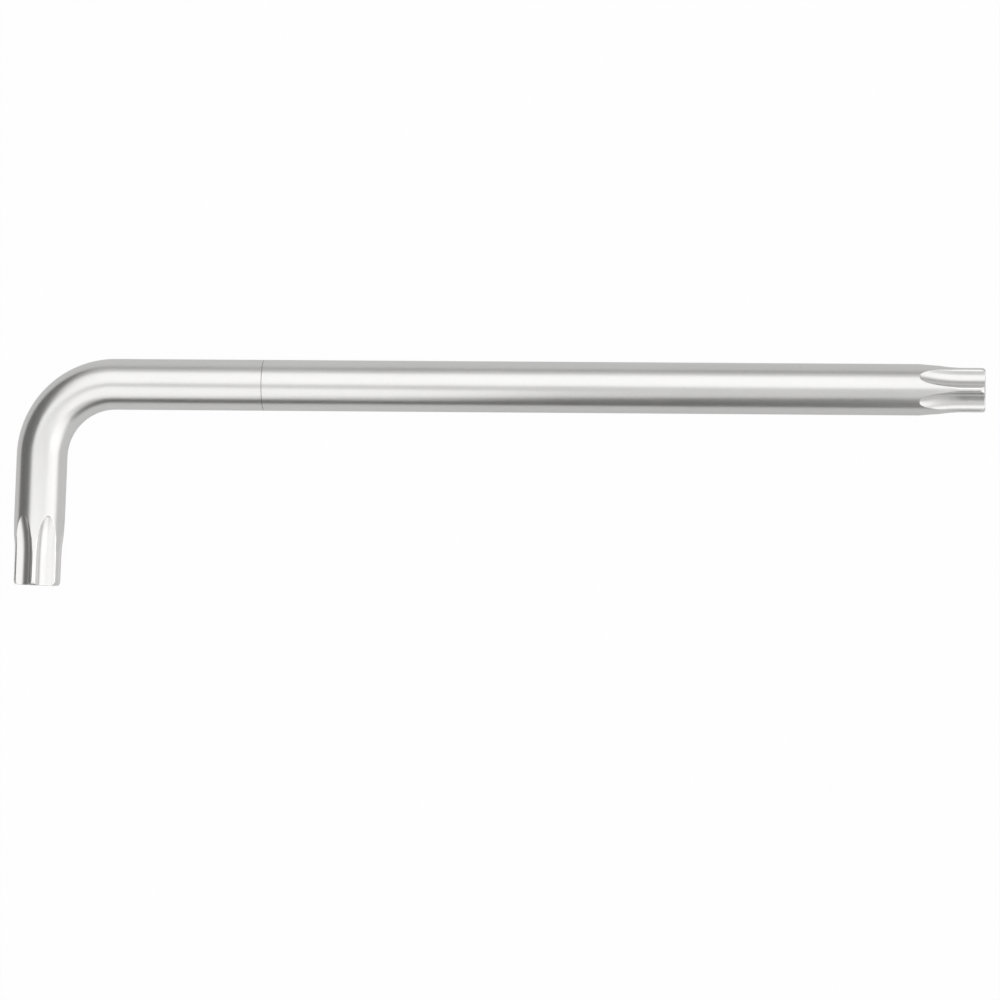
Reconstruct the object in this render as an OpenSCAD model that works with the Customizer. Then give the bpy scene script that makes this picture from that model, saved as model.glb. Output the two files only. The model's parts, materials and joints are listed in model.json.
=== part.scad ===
// L-shaped star key: a round bar, bent once, with a six-lobe star ground on each end.
// The key lies flat. The long arm runs along +X, the short arm towards -Y, and +Z is up.
// The origin is the middle of the key's box, on the surface that the key lies on.

/* [Bar] */
// Diameter of the round bar
bar_d = 9; // [8.7:0.1:11]
// Long arm, from the corner where the two centre lines cross to the end of its star
long_l = 166.5; // [120:0.1:240]
// Short arm, from the same corner to the end of its star
short_l = 35.8; // [30:0.1:60]
// Radius of the bend, on the centre line
bend_r = 13.2; // [10:0.1:16]
// Angle that the bar is bent through, where 90 is a square corner
bend_angle = 88.1; // [80:0.1:95]

/* [Star ends] */
// Diameter over the lands on top of the lobes
star_d = 8.65; // [8.2:0.05:9]
// Depth of a flute below the lands
flute_depth = 1.2; // [0.8:0.05:1.5]
// Radius that rounds the shoulders of a lobe
lobe_r = 0.6; // [0.5:0.05:0.9]
// Width of the land on top of a lobe
land_w = 0.4; // [0.2:0.05:0.6]
// Length of the long arm's star at its full depth
long_star_l = 6.1; // [4:0.05:8]
// Length of the short arm's star at its full depth
short_star_l = 6.85; // [4:0.05:8]
// Length of the run-out, over which a flute rises to the surface of the bar
runout_l = 5.8; // [4:0.05:8]
// Length of the taper that leads from the bar down to the lands, up to the full star
taper_l = 2; // [1:0.1:8]
// Length of the chamfer round the end of a star
chamfer_l = 0.85; // [0.3:0.05:1.5]
// Height of the chamfer round the end of a star
chamfer_h = 0.5; // [0.2:0.05:0.8]

/* [Joint of the two pieces] */
// Distance from the corner to the faces where the two pieces meet
joint_at = 39.3; // [34:0.1:80]
// Edge break on both sides of the joint, which shows as a fine groove
joint_break = 0.12; // [0.05:0.01:0.4]
// Width of the hexagon spigot across its flats
spigot_w = 5; // [4:0.1:6]
// Length of the spigot
spigot_l = 12; // [6:0.5:16]
// Chamfer on the end of the spigot
spigot_chamfer = 0.6; // [0.3:0.1:1]
// Clearance between the spigot and its socket, on each side
socket_clearance = 0.05; // [0.02:0.01:0.2]
// Room in the socket beyond the end of the spigot
socket_room = 0.5; // [0.2:0.1:1.5]
// Depth that the broach cut from the drilled hole, on each flat of the socket
broach_depth = 0.25; // [0.1:0.05:0.6]
// Full point angle of the drill
drill_angle = 118; // [90:1:140]
// Width of the drill's chisel edge, which leaves a small flat at the bottom
chisel_d = 0.6; // [0.3:0.1:1]

/* [Hidden] */
$fn = 72;
satin_chrome = [0.80, 0.80, 0.78];

// Lobes of the star and the angle from a lobe to the next flute
lobes = 6;
half_pitch = 180 / lobes;

// Lobe rounds, which meet the lands at half of the land's width from the lobe's middle
land_r = star_d / 2;
half_land = land_w / 2;
lobe_c = sqrt(land_r ^ 2 - half_land ^ 2) - sqrt(lobe_r ^ 2 - half_land ^ 2);

// Flute rounds, which touch the lobe rounds on both sides and the root circle between them
root_r = land_r - flute_depth;
flute_r = (lobe_r ^ 2 - lobe_c ^ 2 - root_r ^ 2 + 2 * lobe_c * root_r * cos(half_pitch))
    / (2 * (root_r - lobe_c * cos(half_pitch) - lobe_r));
flute_c = root_r + flute_r;

// Point where a lobe round and a flute round touch, seen from the middle of the star
touch_angle = atan2(flute_c * sin(half_pitch), flute_c * cos(half_pitch) - lobe_c);
touch = [lobe_c + lobe_r * cos(touch_angle), lobe_r * sin(touch_angle)];
core_r = norm(touch) * cos(half_pitch - atan2(touch.y, touch.x)) / cos(half_pitch);

// Overlap that lets the flute rounds cross the lobe rounds cleanly where they touch
round_overlap = 0.01;

// Flute, whose sides end halfway from the lobe rounds to the middle of the lands, and the slope
// of its run-out
flute_w = 2 * land_r * sin(half_pitch - asin(half_land / land_r) / 2);
runout_angle = atan((bar_d / 2 - root_r) / runout_l);
past_end = 1;
flute_reach = runout_l + max(long_star_l, short_star_l) + past_end;

// Bend, where the bar has drawn a little thinner, and the lengths of the straights beside it
bend_thinning = 0.02;
tangent_l = bend_r * tan(bend_angle / 2);
lean = 90 - bend_angle;
stub_l = joint_at - tangent_l;
short_straight_l = short_l - tangent_l;
shaft_l = long_l - joint_at;

// Half profiles of the near end of a straight length. At the bend it noses into the thinner
// bar, and at the joint it has a flat face with a broken edge.
nose_l = 0.6;
nose_drop = 0.06;
bend_end = [[0, -nose_l], [bar_d / 2 - nose_drop, -nose_l], [bar_d / 2, 0]];
joint_end = [[0, 0], [bar_d / 2 - joint_break, 0], [bar_d / 2, joint_break]];

// Spigot and socket
socket_w = spigot_w + 2 * socket_clearance;
socket_l = spigot_l + socket_room;
drill_d = socket_w - 2 * broach_depth;
drill_point_l = (drill_d - chisel_d) / 2 / tan(drill_angle / 2);
spigot_root = 2;
hexagon_half = 30;

// Box of the key about the corner, for the place of the origin
low_x = -(short_l - short_star_l - runout_l) * sin(lean) - bar_d / 2 * cos(lean);
low_y = -short_l * cos(lean) - (land_r - chamfer_h) * abs(sin(lean));
corner = [-(low_x + long_l) / 2, -(low_y + bar_d / 2) / 2, bar_d / 2];

// Outline of the star with one lobe on +X, before the lands are turned
module star_outline() {
    difference() {
        union() {
            circle(r = core_r, $fn = lobes);
            for (i = [0:lobes - 1])
                rotate(i * 2 * half_pitch)
                    translate([lobe_c, 0])
                        circle(r = lobe_r);
        }
        for (i = [0:lobes - 1])
            rotate((2 * i + 1) * half_pitch)
                translate([flute_c, 0])
                    circle(r = flute_r + round_overlap);
    }
}

// Groove along Z with the section of a flute on +X, outside the star's outline
module groove() {
    translate([0, 0, -flute_reach])
        linear_extrude(2 * flute_reach)
            difference() {
                translate([0, -flute_w / 2])
                    square([bar_d, flute_w]);
                rotate(half_pitch)
                    star_outline();
            }
}

// Space of one flute on +X: a straight groove above z = 0, and the ramp of its run-out below
module flute() {
    intersection() {
        groove();
        translate([root_r, 0, 0])
            rotate([0, -runout_angle, 0])
                translate([-root_r, 0, 0])
                    groove();
    }
}

// Round bar turned on its axis from z = 0, tapered and chamfered for a star at its far end
module turned_bar(length, star_l, near_end) {
    star_z = length - star_l;
    far_end = [
        [bar_d / 2, star_z - taper_l],
        [land_r, star_z],
        [land_r, length - chamfer_l],
        [land_r - chamfer_h, length],
        [0, length]
    ];
    rotate_extrude()
        polygon(concat(near_end, far_end));
}

// Straight bar along +Z with a star at its far end, turned so that a lobe lies at the angle turn
module star_bar(length, star_l, turn, near_end) {
    rotate(turn)
        difference() {
            turned_bar(length, star_l, near_end);
            for (i = [0:lobes - 1])
                rotate((2 * i + 1) * half_pitch)
                    translate([0, 0, length - star_l])
                        flute();
        }
}

// Hexagon prism along +Z, given its width across the flats
module hexagon(width, length) {
    cylinder(d = width / cos(hexagon_half), h = length, $fn = 6);
}

// Stub of the long arm along +Z from the bend to the joint
module stub() {
    far_end = [
        [bar_d / 2, stub_l - joint_break],
        [bar_d / 2 - joint_break, stub_l],
        [0, stub_l]
    ];
    rotate_extrude()
        polygon(concat(bend_end, far_end));
}

// Broached hexagon socket, cut down from z = 0, with the drill's point at its bottom
module socket() {
    translate([0, 0, -socket_l])
        hexagon(socket_w, socket_l + past_end);
    translate([0, 0, -socket_l - drill_point_l])
        cylinder(d1 = chisel_d, d2 = drill_d, h = drill_point_l);
}

// Hexagon spigot below z = 0, with a turned chamfer, rooted in the bar above
module spigot() {
    corner_r = spigot_w / 2 / cos(hexagon_half);
    intersection() {
        translate([0, 0, -spigot_l])
            hexagon(spigot_w, spigot_l + spigot_root);
        rotate_extrude()
            polygon([
                [0, -spigot_l],
                [corner_r - spigot_chamfer, -spigot_l],
                [corner_r + spigot_chamfer, -spigot_l + 2 * spigot_chamfer],
                [corner_r + spigot_chamfer, spigot_root],
                [0, spigot_root]
            ]);
    }
}

// Short star end, short arm, bend and stub in one piece, with the socket in the stub's end
module bent_arm() {
    color(satin_chrome)
        translate(corner)
            translate([tangent_l, -bend_r, 0])
                difference() {
                    union() {
                        rotate(90)
                            rotate_extrude(angle = bend_angle)
                                translate([bend_r, 0])
                                    circle(d = bar_d - bend_thinning);
                        rotate(90 + bend_angle)
                            translate([bend_r, 0, 0])
                                rotate([-90, 0, 0])
                                    star_bar(short_straight_l, short_star_l, half_pitch, bend_end);
                        translate([0, bend_r, 0])
                            rotate([0, 90, 0])
                                stub();
                    }
                    translate([stub_l, bend_r, 0])
                        rotate([0, 90, 0])
                            socket();
                }
}

// Spigot, round shaft and long star end in one piece
module long_shaft() {
    color(satin_chrome)
        translate(corner)
            translate([joint_at, 0, 0])
                rotate([0, 90, 0]) {
                    star_bar(shaft_l, long_star_l, 0, joint_end);
                    spigot();
                }
}

bent_arm();
long_shaft();
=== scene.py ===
"""Looks of an L-shaped star key, worked out around its packed solids.

The key is a round satin-chromed bar, bent once, with a six-lobe star on each end. Each of its two pieces is
one closed surface: rings of points, carried along the bar's centre line, whose radius follows the lathe's
profile, the ground flutes and the hexagon joint inside.
"""

import collections
import json
import math

import bpy
import numpy as np
from bpy.props import FloatProperty, FloatVectorProperty, PointerProperty
from mathutils import Matrix, Vector


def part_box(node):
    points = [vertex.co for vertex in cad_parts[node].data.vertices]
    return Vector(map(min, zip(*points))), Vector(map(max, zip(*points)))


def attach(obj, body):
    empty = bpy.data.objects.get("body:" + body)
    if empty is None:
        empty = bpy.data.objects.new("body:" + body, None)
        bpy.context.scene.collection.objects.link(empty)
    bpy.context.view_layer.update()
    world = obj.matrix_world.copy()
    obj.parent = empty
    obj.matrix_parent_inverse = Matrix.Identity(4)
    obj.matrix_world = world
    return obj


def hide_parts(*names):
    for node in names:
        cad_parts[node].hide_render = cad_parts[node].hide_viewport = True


bl_info = {
    "name": "Star key",
    "version": (1, 0, 0),
    "blender": (4, 5, 0),
    "location": "3D View > Sidebar > Star key",
    "description": "Dresses the solids of an L-shaped star key in satin chrome, on a studio floor",
    "category": "Add Mesh",
}

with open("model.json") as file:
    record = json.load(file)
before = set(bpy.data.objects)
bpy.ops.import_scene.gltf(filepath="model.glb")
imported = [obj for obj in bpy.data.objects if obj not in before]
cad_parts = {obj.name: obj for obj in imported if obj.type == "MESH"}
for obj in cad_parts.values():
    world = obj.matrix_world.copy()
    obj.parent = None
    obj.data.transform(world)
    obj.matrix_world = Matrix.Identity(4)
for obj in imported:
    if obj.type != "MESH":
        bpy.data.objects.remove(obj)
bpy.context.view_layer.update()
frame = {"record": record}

MM = 0.001
UP = np.array([0.0, 0.0, 1.0])
BODY = "root"

# Points in each ring of a piece, a multiple of the star's lobes and the hexagon's corners
COLUMNS = 360
LOBES = 6
HEXAGON_SIDES = 6
AROUND = np.arange(COLUMNS) * 2 * np.pi / COLUMNS
SHARP_ANGLE = math.radians(28.0)

# Rings that divide each stretch of a piece, with those at both of its ends
ROWS = {
    "face": 12, "rim": 5, "chamfer": 10, "prism": 8, "runout": 96, "heel": 14,
    "arm": 8, "bend": 72, "stub": 12, "shaft": 48, "spigot_chamfer": 7,
}

# Halvings of the interval in which a point of a flute's surface is sought
HALVINGS = 40

# Power of the chamfer's superellipse, where 1 is a straight chamfer and 2 a quarter of an ellipse
CHAMFER_POWER = 1.6

# Slope of a flute's floor past its end, where it lies outside the bar
PAST_END_SLOPE = 2.0


# Places and sizes that come from the frame

def mount(name):
    """The record's mount of that name."""
    return next(m for m in frame["record"]["mounts"] if m["name"] == name)


def mount_place(name):
    """Place and axis of a mount, in metres in the part's frame."""
    found = mount(name)
    return np.array(found["pos_m"]), np.array(found["axis"])


def mount_size(name, dimension):
    """A dimension of a mount, in metres."""
    return mount(name)["dims"][dimension] * MM


def crossing(point, direction, other_point, other_direction):
    """Where the line through point meets the other line that lies in one plane with it."""
    normal = np.cross(direction, other_direction)
    step = np.dot(np.cross(other_point - point, other_direction), normal) / np.dot(normal, normal)
    return point + step * direction


long_end, long_axis = mount_place("long_drive")
short_end, short_axis = mount_place("short_drive")
corner = crossing(long_end, long_axis, short_end, short_axis)
bar_r = mount_size("long_shank", "r_mm")
land_r = mount_size("long_drive", "r_mm")

# The long arm's straight stretch starts where the bend ends, and ends where the taper to its star begins
straight_middle = mount_place("long_shank")[0]
straight_l = mount_size("long_shank", "length_mm")
tangent_l = np.dot(straight_middle - corner, long_axis) - straight_l / 2
bend_angle = math.acos(np.dot(long_axis, -short_axis))
bend_r = tangent_l / math.tan(bend_angle / 2)
bend_l = bend_r * bend_angle
short_straight_l = np.dot(short_end - corner, short_axis) - tangent_l

long_star_l = mount_size("long_drive", "length_mm")
short_star_l = mount_size("short_drive", "length_mm")
taper_l = np.dot(long_end - straight_middle, long_axis) - straight_l / 2 - long_star_l

# The two pieces meet in a plane across the long arm
joint_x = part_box("bent_arm")[1].x
stub_l = joint_x - corner[0] - tangent_l
shaft_l = long_end[0] - joint_x
spigot_l = joint_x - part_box("long_shaft")[0].x


# Settings that a user would change

def length(name, default, description):
    """A setting that is a length, with its default in millimetres."""
    return FloatProperty(
        name=name, description=description, default=default * MM, min=0.0, precision=5, unit="LENGTH"
    )


def share(name, default, description):
    """A setting from 0 to 1."""
    return FloatProperty(
        name=name, description=description, default=default, min=0.0, max=1.0, subtype="FACTOR"
    )


def angle(name, default, description):
    """A setting that is an angle, with its default in degrees."""
    return FloatProperty(
        name=name, description=description, default=math.radians(default), subtype="ANGLE", unit="ROTATION"
    )


def colour(name, default, description):
    """A setting that is a colour."""
    return FloatVectorProperty(
        name=name, description=description, default=default, min=0.0, max=1.0, size=3, subtype="COLOR"
    )


def strength(name, default, description):
    """A setting that is a light's strength, where 1 shows as white."""
    return FloatProperty(name=name, description=description, default=default, min=0.0)


class StarSettings(bpy.types.PropertyGroup):
    """Sizes of the two star ends."""

    flute_depth: length("Flute depth", 1.2, "Depth of a flute below the lands")
    lobe_r: length("Lobe radius", 0.6, "Radius that rounds the shoulders of a lobe")
    land_w: length("Land width", 0.4, "Width of the land on top of a lobe")
    long_runout_l: length("Long arm's run-out", 5.23, "Distance from the full star to the flutes' ends")
    short_runout_l: length("Short arm's run-out", 5.58, "Distance from the full star to the flutes' ends")
    wheel_l: length("Wheel length", 7.55, "Length of the grinding wheel's curve at the end of a flute")
    heel_l: length("Heel length", 0.22, "Length of the blunt heel where the wheel's curve leaves the bar")
    chamfer_l: length("Chamfer length", 0.85, "Length of the soft chamfer round the end")
    chamfer_h: length("Chamfer height", 0.5, "Height of the soft chamfer round the end")
    crease_r: length("Crease softness", 0.05, "How far the plating softens the edges of the flutes")
    rim_r: length("Rim radius", 0.1, "Rounding between the star and its end face")


class JointSettings(bpy.types.PropertyGroup):
    """Sizes of the hexagon joint between the two pieces."""

    edge_break: length("Edge break", 0.05, "Edge break on both sides of the joint, which shows as a groove")
    spigot_w: length("Spigot width", 5.0, "Width of the hexagon spigot across its flats")
    spigot_chamfer: length("Spigot chamfer", 0.6, "Chamfer on the end of the spigot")
    clearance: length("Socket clearance", 0.05, "Clearance between the spigot and its socket, on each side")
    room: length("Socket room", 0.5, "Room in the socket beyond the end of the spigot")
    broach_depth: length("Broach depth", 0.25, "Depth that the broach cut on each flat of the socket")
    drill_angle: angle("Drill angle", 118.0, "Full point angle of the drill")
    chisel_d: length("Chisel flat", 0.6, "Width of the flat that the drill's chisel edge leaves")


class FinishSettings(bpy.types.PropertyGroup):
    """Colours and surface of the two finishes."""

    chrome: colour("Chrome", (0.70, 0.697, 0.685), "Colour of the satin chrome")
    steel: colour("Bare steel", (0.40, 0.39, 0.37), "Colour of the machined steel inside the joint")
    # Painted shade: a darker colour for the joint's groove, standing in for the shade that falls into it
    groove_shade: colour("Groove soil", (0.46, 0.455, 0.445), "Colour of the oil and dust in the joint's groove")
    chrome_roughness: share("Chrome roughness", 0.27, "Roughness of the satin chrome")
    steel_roughness: share("Steel roughness", 0.38, "Roughness of the machined steel")
    ring_grain: share("Ring grain", 0.47, "How much further the grain spreads reflections along the bar")
    waves: length("Waves", 0.012, "Height of the slow waves that grinding left along the bar")
    # Edge wear smooths the edges and also paints them lighter, which is a painted highlight
    wear_and_highlight: share("Edge wear", 0.3, "How bright use has polished the edges of the lobes and rims")


class StageSettings(bpy.types.PropertyGroup):
    """Floor, cards, lights and camera."""

    floor: colour("Floor", (0.55, 0.55, 0.55), "Colour of the floor")
    white: share("White floor", 0.98, "How much of the floor shows as plain white, over its own shadows")
    white_in_metal: share("White in the metal", 0.36, "How much of the floor is plain white in the metal")
    grey_card: colour("Grey card", (0.235, 0.235, 0.23), "Colour of the card on the long arm's near side")
    black_card: colour("Black card", (0.18, 0.18, 0.175), "Colour of the card on the short arm's outer side")
    backdrop: colour("Backdrop", (0.74, 0.74, 0.73), "Colour of the low backdrop behind the long arm")
    sky: strength("Surroundings", 0.795, "Strength of the white surroundings")
    key_light: strength("Large softbox", 0.6, "Strength of the softbox behind the long arm")
    fill_light: strength("Small softbox", 0.55, "Strength of the softbox over the bend")
    side_light: strength("Side softbox", 0.75, "Strength of the softbox at the long arm's end")
    view_turn: angle("View turn", 5.5, "Turn of the camera towards the long arm's end, from straight above")
    view_roll: angle("View roll", 0.503, "Roll of the camera")
    view_distance: length("View distance", 1000.0, "Distance of the camera from the key")
    view_width: length("View width", 176.35, "Width that the camera takes in at that distance")
    aim_along: length("Aim along", 81.39, "Distance along the long arm, from the corner to the aim")
    aim_down: length("Aim down", 19.94, "Distance from the long arm's centre line to the aim")


# Shape of a star end

Section = collections.namedtuple("Section", "flute_r flute_c lobe_r lobe_x lobe_y touch_y")


def star_section(star):
    """Section of one flute, seen along the bar, with the flute's middle on the first axis.

    The lobe rounds meet the lands at half of the land's width from the lobe's middle. The flute's hollow arc
    touches the root circle in its middle and the lobe rounds at its sides.
    """
    half_pitch = math.pi / LOBES
    half_land = star.land_w / 2
    lobe_c = math.sqrt(land_r**2 - half_land**2) - math.sqrt(star.lobe_r**2 - half_land**2)
    root_r = land_r - star.flute_depth
    lobe_x = lobe_c * math.cos(half_pitch)
    lobe_y = lobe_c * math.sin(half_pitch)
    flute_r = (star.lobe_r**2 - lobe_c**2 - root_r**2 + 2 * root_r * lobe_x) / (
        2 * (root_r - lobe_x - star.lobe_r)
    )
    touch_y = lobe_y * flute_r / (flute_r + star.lobe_r)
    return Section(flute_r, root_r + flute_r, star.lobe_r, lobe_x, lobe_y, touch_y)


def section_height(section, aside):
    """Height of a flute's section over the bar's axis, at a distance aside from the flute's middle.

    Up to the touch point it is the flute's hollow arc, and after it the lobe's round arc.
    """
    hollow = section.flute_c - np.sqrt(np.maximum(section.flute_r**2 - aside**2, 0.0))
    lobe = section.lobe_x + np.sqrt(np.maximum(section.lobe_r**2 - (aside - section.lobe_y) ** 2, 0.0))
    return np.where(aside < section.touch_y, hollow, lobe)


def flute_radius(section, from_middle, rise):
    """Distance from the bar's axis to a flute's surface, for every rise (rows) and angle (columns).

    The point at radius r and angle a from the flute's middle lies on the surface where r cos a equals the
    section's height at r sin a, plus the rise of the run-out. r is found by halving an interval.
    """
    sine = np.abs(np.sin(from_middle))
    cosine = np.cos(from_middle)
    low = np.zeros((len(rise), COLUMNS))
    high = np.full((len(rise), COLUMNS), 2 * bar_r)
    for _ in range(HALVINGS):
        middle = (low + high) / 2
        inside = middle * cosine < section_height(section, middle * sine) + rise[:, None]
        low = np.where(inside, middle, low)
        high = np.where(inside, high, middle)
    return (low + high) / 2


def wheel_rise(star, from_end):
    """Rise of a flute's floor over its root, at a distance from the flute's end towards the star.

    The grinding wheel left an arc that rises from the root without a corner, as if to end half a heel
    further. The heel ends it sooner, in a quarter of an ellipse. Past the end the floor rises steeply,
    which keeps it clear of the bar.
    """
    depth = bar_r - land_r + star.flute_depth
    reach = star.wheel_l + star.heel_l / 2
    wheel_r = (reach**2 + depth**2) / (2 * depth)
    arc = wheel_r - np.sqrt(wheel_r**2 - np.clip(star.wheel_l - from_end, 0.0, star.wheel_l) ** 2)
    heel = 1.0 - np.clip(from_end / star.heel_l, 0.0, 1.0)
    past_end = PAST_END_SLOPE * np.maximum(-from_end, 0.0)
    return arc + (depth - arc) * (1.0 - np.sqrt(1.0 - heel**2)) + past_end


def soft_minimum(first, second, softness):
    """The smaller of two radii, with the edge between them eased over differences below the softness."""
    near = np.maximum(softness - np.abs(first - second), 0.0) / softness
    return np.minimum(first, second) - near**2 * softness / 4


def turned_radius(star, star_l, back):
    """Radius that the lathe left at a distance back from the end.

    It is the land's radius, plus a straight taper up to the bar, less a soft chamfer at the end, which is a
    quarter of a superellipse.
    """
    taper = np.clip((back - star_l) / taper_l, 0.0, 1.0) * (bar_r - land_r)
    out = np.clip(1.0 - back / star.chamfer_l, 0.0, 1.0)
    chamfer = star.chamfer_h * (1.0 - (1.0 - out**CHAMFER_POWER) ** (1.0 / CHAMFER_POWER))
    return land_r + taper - chamfer


def from_nearest(sides):
    """Angle of each point of a ring from the middle of the nearest of so many sides, the first at 0."""
    pitch = 2 * np.pi / sides
    return (AROUND + pitch / 2) % pitch - pitch / 2


def star_rings(star, star_l, runout_l):
    """Rings of a star end, from the middle of its end face back to the plain bar.

    Gives each ring's distance back from the end, the radius at each of its points, how near each point is to
    an edge that wear smooths and a painted highlight lightens, and how many rings lie on the end face.
    """
    flute_l = star_l + runout_l
    curve_start = flute_l - star.wheel_l

    turn = np.linspace(0.0, np.pi / 2, ROWS["rim"])
    rim = star.rim_r * (1.0 - np.cos(turn))
    chamfer = np.linspace(star.rim_r, star.chamfer_l, ROWS["chamfer"])[1:]
    prism = np.linspace(star.chamfer_l, curve_start, ROWS["prism"])[1:]
    heel_start = flute_l - star.heel_l
    runout = np.linspace(curve_start, heel_start, ROWS["runout"])[1:]
    heel = np.linspace(heel_start, flute_l + 2 * star.crease_r, ROWS["heel"])[1:]
    back = np.concatenate([rim, chamfer, prism, runout, heel])

    flute = flute_radius(star_section(star), from_nearest(LOBES), wheel_rise(star, flute_l - back))
    lathe = turned_radius(star, star_l, back)[:, None]
    radius = soft_minimum(flute, lathe, star.crease_r)
    rounding = star.rim_r * (1.0 - np.sin(turn))
    radius[: len(rim)] -= rounding[:, None]
    # Mask of the edges, for their real wear and their painted highlight: along the flutes' creases, fading
    # towards the flutes' ends, and all round the rim
    used = np.clip((flute_l - back) / runout_l, 0.0, 1.0)[:, None]
    edge = used * np.exp(-(((flute - lathe) / star.crease_r) ** 2))
    edge[: len(rim)] = 1.0

    face = np.linspace(0.0, 1.0, ROWS["face"])[1:-1, None]
    radius = np.concatenate([face * radius[0], radius])
    edge = np.concatenate([np.zeros_like(face * edge[0]), edge])
    back = np.concatenate([np.zeros(len(face)), back])
    return back, radius, edge, len(face)


# Carrying rings along the bar

def bent_centre_line(along):
    """Centre line from the short end: straight, round the bend, then straight along the long arm.

    Gives the centre of each ring and the direction of its first point, which lies in the plane of the two
    arms, on the outside of the bend.
    """
    start = -short_axis
    outside = np.cross(UP, start)
    bend_middle = corner + tangent_l * short_axis - bend_r * outside
    turned = np.clip((along - short_straight_l) / bend_r, 0.0, bend_angle)[:, None]
    before = np.minimum(along - short_straight_l, 0.0)[:, None]
    after = np.maximum(along - short_straight_l - bend_l, 0.0)[:, None]
    first = np.cos(turned) * outside + np.sin(turned) * start
    return bend_middle + bend_r * first + before * start + after * long_axis, first


def straight_centre_line(along):
    """Centre line of the long arm, measured from the joint of the two pieces."""
    joint = corner + (joint_x - corner[0]) * long_axis
    first = np.broadcast_to(np.cross(UP, long_axis), (len(along), 3))
    return joint + along[:, None] * long_axis, first


def carry(centre_line, along, radius):
    """Points of the rings: from each centre, radius times (cos a of the first direction + sin a of up)."""
    centre, first = centre_line(along)
    spoke = np.cos(AROUND)[None, :, None] * first[:, None, :] + np.sin(AROUND)[None, :, None] * UP
    return centre[:, None, :] + radius[:, :, None] * spoke


def unbent(along, radius):
    """Place of each point on the bar as if it were straight, in millimetres, for the grain to follow."""
    length_along = np.broadcast_to(along[:, None], radius.shape)
    return np.stack([length_along, radius * np.cos(AROUND), radius * np.sin(AROUND)], axis=-1) / MM


def hexagon_radius(width):
    """Radius of a hexagon at each point of a ring: half its width over the cosine from a flat's middle."""
    return width / 2 / np.cos(from_nearest(HEXAGON_SIDES))


def closed_mesh(name, points, place, poles, pole_places, masks, steel_rows):
    """One closed mesh of rings, with a fan of triangles from each pole.

    The map of the surface runs along the piece, then round it. The masks are named values at each point.
    """
    rows = len(points)
    index = np.arange(rows * COLUMNS).reshape(rows, COLUMNS)
    beside = np.roll(index, -1, axis=1)
    quads = np.stack([index[:-1], beside[:-1], beside[1:], index[1:]], axis=-1).reshape(-1, 4)
    first_pole = np.full(COLUMNS, index.size)
    last_pole = first_pole + 1
    first_fan = np.stack([first_pole, beside[0], index[0]], axis=-1)
    last_fan = np.stack([index[-1], beside[-1], last_pole], axis=-1)
    mesh = bpy.data.meshes.new(name)
    corners = np.concatenate([points.reshape(-1, 3), poles])
    mesh.from_pydata(corners.tolist(), [], quads.tolist() + first_fan.tolist() + last_fan.tolist())

    # Map of the surface: distance along the middle of the piece's outline, and angle round the bar
    steps = np.linalg.norm(np.diff(points, axis=0), axis=-1).mean(axis=1)
    rim = np.linalg.norm(points[[0, -1]] - poles[:, None, :], axis=-1).mean(axis=1)
    distance = np.concatenate([[rim[0]], rim[0] + np.cumsum(steps)]) / MM
    turn = np.arange(COLUMNS + 1) * 2 * np.pi * bar_r / COLUMNS / MM
    here, there = np.meshgrid(distance, turn, indexing="ij")
    grid = np.stack([here, there], axis=-1)
    quad_map = np.stack([grid[:-1, :-1], grid[:-1, 1:], grid[1:, 1:], grid[1:, :-1]], axis=2)
    first_tip = np.stack([np.zeros(COLUMNS), turn[:-1]], axis=-1)
    last_tip = np.stack([np.full(COLUMNS, distance[-1] + rim[1] / MM), turn[:-1]], axis=-1)
    first_map = np.stack([first_tip, grid[0, 1:], grid[0, :-1]], axis=1)
    last_map = np.stack([grid[-1, :-1], grid[-1, 1:], last_tip], axis=1)
    flat_map = [part.reshape(-1, 2) for part in (quad_map, first_map, last_map)]
    surface_map = mesh.uv_layers.new(name="along_and_round")
    surface_map.uv.foreach_set("vector", np.concatenate(flat_map).ravel().astype(np.float32))

    unbent_place = mesh.attributes.new("unbent", "FLOAT_VECTOR", "POINT")
    unbent_place.data.foreach_set(
        "vector", np.concatenate([place.reshape(-1, 3), pole_places]).ravel().astype(np.float32)
    )
    for mask_name, mask in masks.items():
        attribute = mesh.attributes.new(mask_name, "FLOAT", "POINT")
        ends = [mask[0].mean(), mask[-1].mean()]
        attribute.data.foreach_set("value", np.concatenate([mask.ravel(), ends]).astype(np.float32))

    # Bare steel on the rings that lie inside the joint, and chrome on the rest
    steel = np.concatenate([
        np.repeat(steel_rows[:-1] & steel_rows[1:], COLUMNS),
        np.full(COLUMNS, steel_rows[0]),
        np.full(COLUMNS, steel_rows[-1]),
    ])
    mesh.polygons.foreach_set("material_index", steel.astype(np.int32))
    mesh.polygons.foreach_set("use_smooth", np.ones(len(steel), dtype=bool))
    mesh.set_sharp_from_angle(angle=SHARP_ANGLE)
    mesh.update()
    return mesh


def add_piece(context, mesh, node_name):
    """Puts a piece into the scene in place of its solid."""
    settings = context.scene.star_key_finish
    mesh.materials.append(satin_chrome(settings))
    mesh.materials.append(bare_steel(settings))
    piece = bpy.data.objects.new(mesh.name, mesh)
    context.scene.collection.objects.link(piece)
    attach(piece, BODY)
    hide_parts(node_name)
    return piece


def add_bar_piece(context, name, node_name, centre_line, along, radius, masks, steel_rows):
    """Makes one piece of the bar from its rings and puts it into the scene."""
    points = carry(centre_line, along, radius)
    ends = along[[0, -1]]
    poles = centre_line(ends)[0]
    pole_places = np.stack([ends / MM, np.zeros(2), np.zeros(2)], axis=-1)
    full_masks = {
        mask: np.broadcast_to(values if values.ndim == 2 else values[:, None], radius.shape)
        for mask, values in masks.items()
    }
    mesh = closed_mesh(name, points, unbent(along, radius), poles, pole_places, full_masks, steel_rows)
    return add_piece(context, mesh, node_name)


# Finishes

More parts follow.
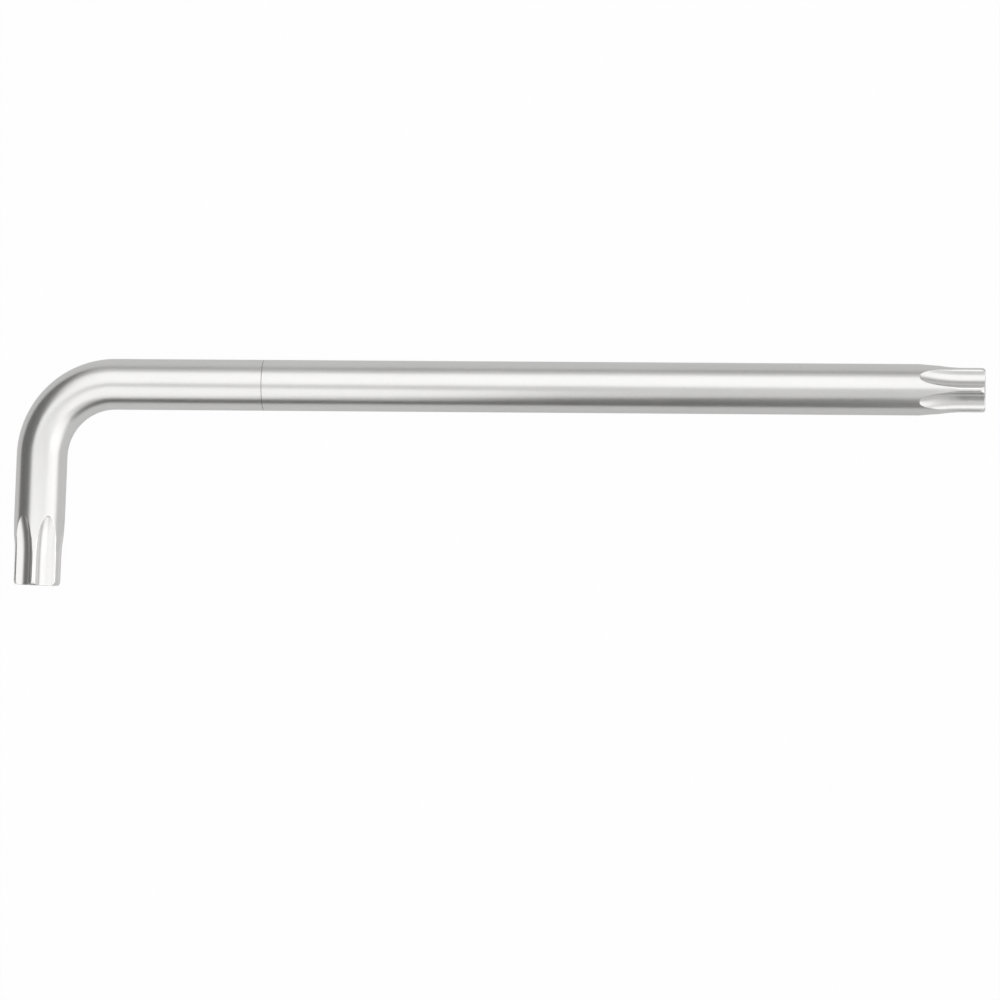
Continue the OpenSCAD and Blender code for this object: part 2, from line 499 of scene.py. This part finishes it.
# How far the patterns change a finish: its darkest and lightest shade as shares of the colour, the spread of
# its roughness, and what lines and scratches add to the roughness and wear takes away
CHROME_SHADES = (0.93, 1.07)
# Painted highlight: how much lighter than the chrome the worn edges are painted
WORN_HIGHLIGHT_SHADE = 1.25
CHROME_SPREAD = 0.10
STEEL_SHADES = (0.75, 1.15)
STEEL_SPREAD = 0.20
LINES_ROUGHEN = 0.06
SCRATCHES_ROUGHEN = 0.12
WEAR_SMOOTHS = 0.16

# Height of the grinding lines, and that of scratches and facing rings as a multiple of it
CHROME_LINES_H = 0.0012 * MM
STEEL_LINES_H = 0.003 * MM
SCRATCH_DEPTH = 0.8
FACE_RINGS_H = 3.0

# The lines in the bare steel are wider apart than those in the chrome
STEEL_LINES_SCALE = 0.5


def add_node(tree, kind, **settings):
    """Adds a node of that kind to a tree and sets its properties."""
    made = tree.nodes.new(kind)
    for name, value in settings.items():
        setattr(made, name, value)
    return made


def math_node(tree, operation, *values):
    """Adds an operation on values, each a socket or a number, and gives its output."""
    made = add_node(tree, "ShaderNodeMath", operation=operation)
    for socket, value in zip(made.inputs, values):
        if isinstance(value, bpy.types.NodeSocket):
            tree.links.new(value, socket)
        else:
            socket.default_value = value
    return made.outputs[0]


def stretched(tree, place, scale):
    """Scales a place along and round the bar, so that a pattern on it is drawn out one way."""
    made = add_node(tree, "ShaderNodeMapping")
    made.inputs["Scale"].default_value = scale
    tree.links.new(place, made.inputs["Vector"])
    return made.outputs["Vector"]


def noise(tree, place, along, across, detail, roughness):
    """Adds noise, with its cells per millimetre along the bar and across it, and gives its value."""
    made = add_node(tree, "ShaderNodeTexNoise")
    made.inputs["Scale"].default_value = 1.0
    made.inputs["Detail"].default_value = detail
    made.inputs["Roughness"].default_value = roughness
    tree.links.new(stretched(tree, place, (along, across, across)), made.inputs["Vector"])
    return made.outputs["Fac"]


def weighted(tree, first, first_share, second):
    """Adds two patterns, of which the first has the given share and the second the rest."""
    rest = math_node(tree, "MULTIPLY", second, 1.0 - first_share)
    return math_node(tree, "MULTIPLY_ADD", first, first_share, rest)


def new_group(name, inputs, outputs):
    """Starts a shader node group with named sockets, and gives its tree and its two ends."""
    tree = bpy.data.node_groups.new(name, "ShaderNodeTree")
    for socket, kind in inputs:
        tree.interface.new_socket(socket, in_out="INPUT", socket_type=kind)
    for socket, kind in outputs:
        tree.interface.new_socket(socket, in_out="OUTPUT", socket_type=kind)
    return tree, add_node(tree, "NodeGroupInput"), add_node(tree, "NodeGroupOutput")


def grinding_lines():
    """Group of fine rings round the bar, as a grinding wheel leaves them: noise, drawn out round the bar."""
    found = bpy.data.node_groups.get("Grinding lines")
    if found:
        return found
    tree, start, end = new_group(
        "Grinding lines", [("Place", "NodeSocketVector")], [("Lines", "NodeSocketFloat")]
    )
    place = start.outputs["Place"]
    fine = noise(tree, place, along=14.0, across=0.12, detail=3.0, roughness=0.6)
    bands = noise(tree, place, along=2.2, across=0.05, detail=2.0, roughness=0.5)
    tree.links.new(weighted(tree, fine, 0.7, bands), end.inputs["Lines"])
    return tree


def wipe_scratches():
    """Group of hair scratches along the bar: the thin level lines of a noise drawn out along it."""
    found = bpy.data.node_groups.get("Wipe scratches")
    if found:
        return found
    tree, start, end = new_group(
        "Wipe scratches", [("Place", "NodeSocketVector")], [("Scratches", "NodeSocketFloat")]
    )
    place = start.outputs["Place"]
    level, line_width = 0.5, 0.012
    drawn_out = noise(tree, place, along=0.05, across=1.6, detail=3.0, roughness=0.55)
    off_level = math_node(tree, "ABSOLUTE", math_node(tree, "SUBTRACT", drawn_out, level))
    thin = add_node(tree, "ShaderNodeMapRange", interpolation_type="SMOOTHSTEP")
    for socket, value in (("From Min", 0.0), ("From Max", line_width), ("To Min", 1.0), ("To Max", 0.0)):
        thin.inputs[socket].default_value = value
    tree.links.new(off_level, thin.inputs["Value"])
    patches = noise(tree, place, along=0.12, across=0.4, detail=2.0, roughness=0.5)
    tree.links.new(math_node(tree, "MULTIPLY", thin.outputs["Result"], patches), end.inputs["Scratches"])
    return tree


def plating_mottle():
    """Group of the slow unevenness of a plated or oiled surface: noise in two sizes."""
    found = bpy.data.node_groups.get("Plating mottle")
    if found:
        return found
    tree, start, end = new_group(
        "Plating mottle", [("Place", "NodeSocketVector")], [("Mottle", "NodeSocketFloat")]
    )
    place = start.outputs["Place"]
    broad = noise(tree, place, along=0.05, across=0.25, detail=2.0, roughness=0.5)
    close = noise(tree, place, along=1.3, across=1.3, detail=3.0, roughness=0.6)
    tree.links.new(weighted(tree, broad, 0.6, close), end.inputs["Mottle"])
    return tree


def place_group(tree, group, place):
    """Places a node group in a material and gives its first output."""
    made = add_node(tree, "ShaderNodeGroup", node_tree=group)
    tree.links.new(place, made.inputs["Place"])
    return made.outputs[0]


def mixed_colour(tree, factor, first, second):
    """Mixes two colours, each a socket or a plain colour, by a factor."""
    made = add_node(tree, "ShaderNodeMix", data_type="RGBA")
    tree.links.new(factor, made.inputs["Factor"])
    for socket, value in ((made.inputs[6], first), (made.inputs[7], second)):
        if isinstance(value, bpy.types.NodeSocket):
            tree.links.new(value, socket)
        else:
            socket.default_value = (*value, 1.0)
    return made.outputs[2]


def attribute(tree, name, output="Fac"):
    """Reads a value stored at the points of the piece."""
    return add_node(tree, "ShaderNodeAttribute", attribute_name=name).outputs[output]


def metal(name, roughness, ring_grain):
    """Starts a metal material with a grain along its surface map, and gives its tree and shader."""
    material = bpy.data.materials.new(name)
    material.use_nodes = True
    tree = material.node_tree
    shader = tree.nodes["Principled BSDF"]
    shader.inputs["Metallic"].default_value = 1.0
    shader.inputs["Roughness"].default_value = roughness
    shader.inputs["Anisotropic"].default_value = ring_grain
    tangent = add_node(tree, "ShaderNodeTangent", direction_type="UV_MAP", uv_map="along_and_round")
    tree.links.new(tangent.outputs["Tangent"], shader.inputs["Tangent"])
    return material, tree, shader


def add_bump(tree, height, depth, under=None):
    """Turns a height pattern into a normal, over the normal of a coarser one. The depth is in metres."""
    bump = add_node(tree, "ShaderNodeBump")
    bump.inputs["Strength"].default_value = 1.0
    bump.inputs["Distance"].default_value = depth
    tree.links.new(height, bump.inputs["Height"])
    if under is not None:
        tree.links.new(under, bump.inputs["Normal"])
    return bump.outputs["Normal"]


def end_face_rings(tree, place):
    """Fine rings round the middle of an end face, as a facing tool leaves them: noise over the radius."""
    flat = add_node(tree, "ShaderNodeVectorMath", operation="MULTIPLY")
    flat.inputs[1].default_value = (0.0, 1.0, 1.0)
    tree.links.new(place, flat.inputs[0])
    radius = add_node(tree, "ShaderNodeVectorMath", operation="LENGTH")
    tree.links.new(flat.outputs["Vector"], radius.inputs[0])
    rings_per_mm, finer_rings = 9.0, 3.0
    rings = add_node(tree, "ShaderNodeTexNoise", noise_dimensions="1D")
    rings.inputs["Scale"].default_value = rings_per_mm
    rings.inputs["Detail"].default_value = finer_rings
    tree.links.new(radius.outputs["Value"], rings.inputs["W"])
    return math_node(tree, "MULTIPLY", rings.outputs["Fac"], attribute(tree, "end_face"))


def satin_chrome(settings):
    """Satin chrome: ring grain, hair scratches, slow mottle, edges that wear smooths and a painted highlight
    lightens, and painted shade in the joint's groove.
    """
    found = bpy.data.materials.get("satin_chrome_finish")
    if found:
        return found
    material, tree, shader = metal("satin_chrome_finish", settings.chrome_roughness, settings.ring_grain)
    place = attribute(tree, "unbent", "Vector")
    lines = place_group(tree, grinding_lines(), place)
    scratches = place_group(tree, wipe_scratches(), place)
    mottle = place_group(tree, plating_mottle(), place)
    worn_and_highlighted = math_node(tree, "MULTIPLY", attribute(tree, "worn_and_highlighted_edge"), settings.wear_and_highlight)

    chrome = np.array(settings.chrome)
    dark, light = CHROME_SHADES
    plate = mixed_colour(tree, mottle, tuple(chrome * dark), tuple(chrome * light))
    # Painted highlight: the worn edges are mixed towards a lighter chrome; the smoothing of their roughness
    # below is their real wear
    plate = mixed_colour(tree, worn_and_highlighted, plate, tuple(np.minimum(chrome * WORN_HIGHLIGHT_SHADE, 1.0)))
    # Painted shade: the joint's groove is mixed towards the darker groove colour
    base = mixed_colour(tree, attribute(tree, "groove"), plate, tuple(settings.groove_shade))
    tree.links.new(base, shader.inputs["Base Color"])

    smoothest = settings.chrome_roughness - CHROME_SPREAD / 2
    roughness = math_node(tree, "MULTIPLY_ADD", mottle, CHROME_SPREAD, smoothest)
    roughness = math_node(tree, "MULTIPLY_ADD", lines, LINES_ROUGHEN, roughness)
    roughness = math_node(tree, "MULTIPLY_ADD", scratches, SCRATCHES_ROUGHEN, roughness)
    roughness = math_node(tree, "MULTIPLY_ADD", worn_and_highlighted, -WEAR_SMOOTHS, roughness)
    tree.links.new(roughness, shader.inputs["Roughness"])

    slow = noise(tree, place, along=0.09, across=0.5, detail=1.0, roughness=0.4)
    waved = add_bump(tree, slow, settings.waves)
    height = math_node(tree, "MULTIPLY_ADD", scratches, -SCRATCH_DEPTH, lines)
    height = math_node(tree, "MULTIPLY_ADD", end_face_rings(tree, place), FACE_RINGS_H, height)
    tree.links.new(add_bump(tree, height, CHROME_LINES_H, waved), shader.inputs["Normal"])
    return material


def bare_steel(settings):
    """Machined steel inside the joint: coarser ring grain and a thin uneven film of oil."""
    found = bpy.data.materials.get("bare_steel_finish")
    if found:
        return found
    material, tree, shader = metal("bare_steel_finish", settings.steel_roughness, settings.ring_grain)
    place = attribute(tree, "unbent", "Vector")
    lines = place_group(tree, grinding_lines(), stretched(tree, place, (STEEL_LINES_SCALE,) * 3))
    mottle = place_group(tree, plating_mottle(), place)
    steel = np.array(settings.steel)
    dark, light = STEEL_SHADES
    base = mixed_colour(tree, mottle, tuple(steel * dark), tuple(steel * light))
    tree.links.new(base, shader.inputs["Base Color"])
    smoothest = settings.steel_roughness - STEEL_SPREAD / 2
    roughness = math_node(tree, "MULTIPLY_ADD", mottle, STEEL_SPREAD, smoothest)
    tree.links.new(roughness, shader.inputs["Roughness"])
    tree.links.new(add_bump(tree, lines, STEEL_LINES_H), shader.inputs["Normal"])
    return material


# Operators

class STARKEY_OT_bent_arm(bpy.types.Operator):
    """Short star end, short arm, bend and stub of the long arm, with the hexagon socket in the stub's end"""

    bl_idname = "star_key.bent_arm"
    bl_label = "Bent arm"
    bl_options = {"UNDO"}

    def execute(self, context):
        star = context.scene.star_key_star
        joint = context.scene.star_key_joint
        full_l = short_straight_l + bend_l + stub_l
        back, star_radius, edge, face_rows = star_rings(star, short_star_l, star.short_runout_l)

        arm = np.linspace(back[-1], short_straight_l, ROWS["arm"])[1:]
        bend = short_straight_l + np.linspace(0.0, bend_l, ROWS["bend"])[1:]
        stub_end = full_l - 2 * joint.edge_break
        stub = np.linspace(short_straight_l + bend_l, stub_end, ROWS["stub"])[1:]
        plain = np.concatenate([arm, bend, stub, [full_l - joint.edge_break]])

        socket_w = joint.spigot_w + 2 * joint.clearance
        socket_end = full_l - spigot_l - joint.room
        drill_r = socket_w / 2 - joint.broach_depth
        point_l = (drill_r - joint.chisel_d / 2) / math.tan(joint.drill_angle / 2)
        hexagon = hexagon_radius(socket_w)
        rim = np.full(COLUMNS, bar_r - joint.edge_break)
        inner_radius = np.stack([
            rim,
            hexagon,
            hexagon,
            np.full(COLUMNS, drill_r),
            np.full(COLUMNS, joint.chisel_d / 2),
        ])
        inner_along = np.array([full_l, full_l, socket_end, socket_end, socket_end - point_l])

        along = np.concatenate([back, plain, inner_along])
        plain_radius = np.full((len(plain), COLUMNS), bar_r)
        radius = np.concatenate([star_radius, plain_radius, inner_radius])
        rows = np.arange(len(along))
        first_inner = len(back) + len(plain)
        masks = {
            "worn_and_highlighted_edge": np.concatenate([edge, np.zeros((len(along) - len(edge), COLUMNS))]),
            "groove": np.where((rows == first_inner - 1) | (rows == first_inner), 1.0, 0.0),
            "end_face": np.where(rows < face_rows, 1.0, 0.0),
        }
        add_bar_piece(
            context, "bent_arm_chromed", "bent_arm", bent_centre_line, along, radius, masks,
            rows >= first_inner,
        )
        return {"FINISHED"}


class STARKEY_OT_long_shaft(bpy.types.Operator):
    """Hexagon spigot, round shaft and long star end"""

    bl_idname = "star_key.long_shaft"
    bl_label = "Long shaft"
    bl_options = {"UNDO"}

    def execute(self, context):
        star = context.scene.star_key_star
        joint = context.scene.star_key_joint
        back, star_radius, edge, face_rows = star_rings(star, long_star_l, star.long_runout_l)

        hexagon = hexagon_radius(joint.spigot_w)
        corner_r = hexagon.max()
        rise = np.linspace(0.0, joint.spigot_chamfer, ROWS["spigot_chamfer"])
        cone = corner_r - joint.spigot_chamfer + rise
        rim = np.full(COLUMNS, bar_r - joint.edge_break)
        spigot_radius = np.concatenate([np.minimum(hexagon, cone[:, None]), [hexagon, rim]])
        spigot_along = np.concatenate([rise - spigot_l, [0.0, 0.0]])

        shaft = np.linspace(2 * joint.edge_break, shaft_l - back[-1], ROWS["shaft"])[:-1]
        plain = np.concatenate([[joint.edge_break], shaft])

        along = np.concatenate([spigot_along, plain, shaft_l - back[::-1]])
        plain_radius = np.full((len(plain), COLUMNS), bar_r)
        radius = np.concatenate([spigot_radius, plain_radius, star_radius[::-1]])
        rows = np.arange(len(along))
        last_inner = len(spigot_along) - 1
        masks = {
            "worn_and_highlighted_edge": np.concatenate([np.zeros((len(along) - len(edge), COLUMNS)), edge[::-1]]),
            "groove": np.where((rows == last_inner) | (rows == last_inner + 1), 1.0, 0.0),
            "end_face": np.where(rows >= len(along) - face_rows, 1.0, 0.0),
        }
        add_bar_piece(
            context, "long_shaft_chromed", "long_shaft", straight_centre_line, along, radius, masks,
            rows <= last_inner,
        )
        return {"FINISHED"}


class STARKEY_OT_stage(bpy.types.Operator):
    """White floor, cards, softboxes and the camera"""

    bl_idname = "star_key.stage"
    bl_label = "Stage"
    bl_options = {"UNDO"}

    def execute(self, context):
        settings = context.scene.star_key_stage
        add_surroundings(context.scene, settings)
        add_floor(context.scene, settings)
        add_lights(context.scene, settings)
        add_camera(context.scene, settings)
        return {"FINISHED"}


# Stage

Softbox = collections.namedtuple("Softbox", "place facing spin width height")

# Places on the stage in metres, in the part's frame. A panel is given by its corners.
FLOOR_REACH = 3.0
FLOOR = [(x * FLOOR_REACH, y * FLOOR_REACH, 0.0) for x, y in ((-1, -1), (1, -1), (1, 1), (-1, 1))]
GREY_CARD = [
    (-0.126, -0.20, 0.0), (0.0965, -0.20, 0.0),
    (0.0965, -0.20, 0.30), (-0.055, -0.20, 0.155), (-0.126, -0.20, 0.06),
]
BLACK_CARD = [(-0.124, 0.14, 0.0), (-0.124, -1.06, 0.0), (-0.282, -1.06, 0.29), (-0.282, 0.14, 0.29)]
BACKDROP = [(-2.0, 0.912, 0.0), (2.0, 0.912, 0.0), (2.0, 0.912, 0.313), (-2.0, 0.912, 0.313)]
LARGE_SOFTBOX = Softbox(
    place=(-0.02, 0.35, 0.564), facing=(-0.03, 0.016, 0.004), spin=math.radians(-1.0),
    width=1.58, height=0.656,
)
SMALL_SOFTBOX = Softbox(
    place=(-0.130, -0.042, 0.092), facing=(-0.138, 0.022, 0.0), spin=math.radians(-11.5),
    width=0.246, height=0.10,
)
SIDE_SOFTBOX = Softbox(
    place=(0.54, -0.18, 0.282), facing=(-0.08, 0.0, 0.0), spin=math.radians(5.5),
    width=0.675, height=0.566,
)


def add_surroundings(scene, settings):
    """White surroundings on every side, and colours shown as they are written."""
    scene.view_settings.view_transform = "Standard"
    world = bpy.data.worlds.new("white_surroundings")
    world.use_nodes = True
    background = world.node_tree.nodes["Background"]
    background.inputs["Color"].default_value = (1.0, 1.0, 1.0, 1.0)
    background.inputs["Strength"].default_value = settings.sky
    scene.world = world


def add_panel_mesh(scene, name, corners, material):
    """One flat panel of the stage, given by its corners."""
    mesh = bpy.data.meshes.new(name)
    mesh.from_pydata(corners, [], [range(len(corners))])
    mesh.materials.append(material)
    panel = bpy.data.objects.new(name, mesh)
    scene.collection.objects.link(panel)
    return panel


def floor_material(settings):
    """Matt floor that shows mostly as plain white, also in the metal, and keeps a faint shadow."""
    material = bpy.data.materials.new("white_floor")
    material.use_nodes = True
    tree = material.node_tree
    tree.nodes.remove(tree.nodes["Principled BSDF"])
    matt = add_node(tree, "ShaderNodeBsdfDiffuse")
    matt.inputs["Color"].default_value = (*settings.floor, 1.0)
    white = add_node(tree, "ShaderNodeEmission")
    white.inputs["Color"].default_value = (1.0, 1.0, 1.0, 1.0)
    white.inputs["Strength"].default_value = 1.0
    rays = add_node(tree, "ShaderNodeLightPath")
    seen = math_node(tree, "MULTIPLY", rays.outputs["Is Camera Ray"], settings.white)
    mirrored = math_node(tree, "ADD", rays.outputs["Is Glossy Ray"], rays.outputs["Is Transmission Ray"])
    mirrored = math_node(tree, "MULTIPLY", mirrored, settings.white_in_metal)
    mixed = add_node(tree, "ShaderNodeMixShader")
    tree.links.new(math_node(tree, "ADD", seen, mirrored), mixed.inputs["Fac"])
    tree.links.new(matt.outputs["BSDF"], mixed.inputs[1])
    tree.links.new(white.outputs["Emission"], mixed.inputs[2])
    tree.links.new(mixed.outputs["Shader"], tree.nodes["Material Output"].inputs["Surface"])
    return material


def card_material(name, card_colour):
    """Plain matt card."""
    material = bpy.data.materials.new(name)
    material.use_nodes = True
    shader = material.node_tree.nodes["Principled BSDF"]
    shader.inputs["Base Color"].default_value = (*card_colour, 1.0)
    shader.inputs["Roughness"].default_value = 1.0
    shader.inputs["Specular IOR Level"].default_value = 0.0
    return material


def add_floor(scene, settings):
    """White floor under the key, and two cards and a low backdrop that only the metal sees."""
    add_panel_mesh(scene, "floor", FLOOR, floor_material(settings))
    cards = (
        ("grey_card", GREY_CARD, settings.grey_card),
        ("black_card", BLACK_CARD, settings.black_card),
        ("backdrop", BACKDROP, settings.backdrop),
    )
    for name, corners, card_colour in cards:
        card = add_panel_mesh(scene, name, corners, card_material(name, card_colour))
        card.visible_camera = False
        card.visible_shadow = False


def add_softbox(scene, name, box, radiance):
    """A rectangular softbox at its place, turned to face a point and spun about the line to that point.

    Without spin its width runs along X, as nearly as its facing lets it. It has the same strength all over,
    and an area light's power is its radiance times its area times pi.
    """
    lamp = bpy.data.lights.new(name, "AREA")
    lamp.shape = "RECTANGLE"
    lamp.size = box.width
    lamp.size_y = box.height
    lamp.energy = radiance * box.width * box.height * math.pi
    softbox = bpy.data.objects.new(name, lamp)
    back = (Vector(box.place) - Vector(box.facing)).normalized()
    along = Vector((1.0, 0.0, 0.0))
    along = (along - along.dot(back) * back).normalized()
    axes = Matrix((along, back.cross(along), back)).transposed().to_4x4()
    softbox.matrix_world = Matrix.Translation(box.place) @ axes @ Matrix.Rotation(box.spin, 4, "Z")
    softbox.visible_camera = False
    scene.collection.objects.link(softbox)


def add_lights(scene, settings):
    """A large softbox behind the long arm, a small one over the bend and one beyond the long arm's end."""
    add_softbox(scene, "large_softbox", LARGE_SOFTBOX, settings.key_light)
    add_softbox(scene, "small_softbox", SMALL_SOFTBOX, settings.fill_light)
    add_softbox(scene, "side_softbox", SIDE_SOFTBOX, settings.side_light)


def add_camera(scene, settings):
    """Camera above the key, turned and rolled, that takes in the stated width at its distance."""
    turn = settings.view_turn
    roll = settings.view_roll
    back = Vector((math.sin(turn), 0.0, math.cos(turn)))
    level = Vector((math.cos(turn), 0.0, -math.sin(turn)))
    upright = Vector((0.0, 1.0, 0.0))
    right = math.cos(roll) * level + math.sin(roll) * upright
    top = math.cos(roll) * upright - math.sin(roll) * level
    aim = Vector(corner + settings.aim_along * long_axis) - settings.aim_down * upright
    place = aim + settings.view_distance * back

    lens = bpy.data.cameras.new("camera")
    lens.lens = lens.sensor_width * settings.view_distance / settings.view_width
    camera = bpy.data.objects.new("camera", lens)
    camera.matrix_world = Matrix.Translation(place) @ Matrix((right, top, back)).transposed().to_4x4()
    scene.collection.objects.link(camera)
    scene.camera = camera


# Panel and registration

SETTINGS = {
    "star_key_star": StarSettings,
    "star_key_joint": JointSettings,
    "star_key_finish": FinishSettings,
    "star_key_stage": StageSettings,
}
STEPS = (STARKEY_OT_bent_arm, STARKEY_OT_long_shaft, STARKEY_OT_stage)


class STARKEY_PT_steps(bpy.types.Panel):
    """Sizes, finishes and steps of the star key"""

    bl_idname = "STARKEY_PT_steps"
    bl_label = "Star key"
    bl_space_type = "VIEW_3D"
    bl_region_type = "UI"
    bl_category = "Star key"

    def draw(self, context):
        for name, group in SETTINGS.items():
            box = self.layout.box()
            box.label(text=group.__doc__)
            for setting in group.__annotations__:
                box.prop(getattr(context.scene, name), setting)
        for step in STEPS:
            self.layout.operator(step.bl_idname)


CLASSES = (*SETTINGS.values(), *STEPS, STARKEY_PT_steps)


def register():
    for made in CLASSES:
        bpy.utils.register_class(made)
    for name, group in SETTINGS.items():
        setattr(bpy.types.Scene, name, PointerProperty(type=group))


def unregister():
    for name in SETTINGS:
        delattr(bpy.types.Scene, name)
    for made in reversed(CLASSES):
        bpy.utils.unregister_class(made)


def main():
    """Registers the classes, and makes the key and its stage."""
    register()
    bpy.ops.star_key.bent_arm()
    bpy.ops.star_key.long_shaft()
    bpy.ops.star_key.stage()


if __name__ == "__main__":
    main()
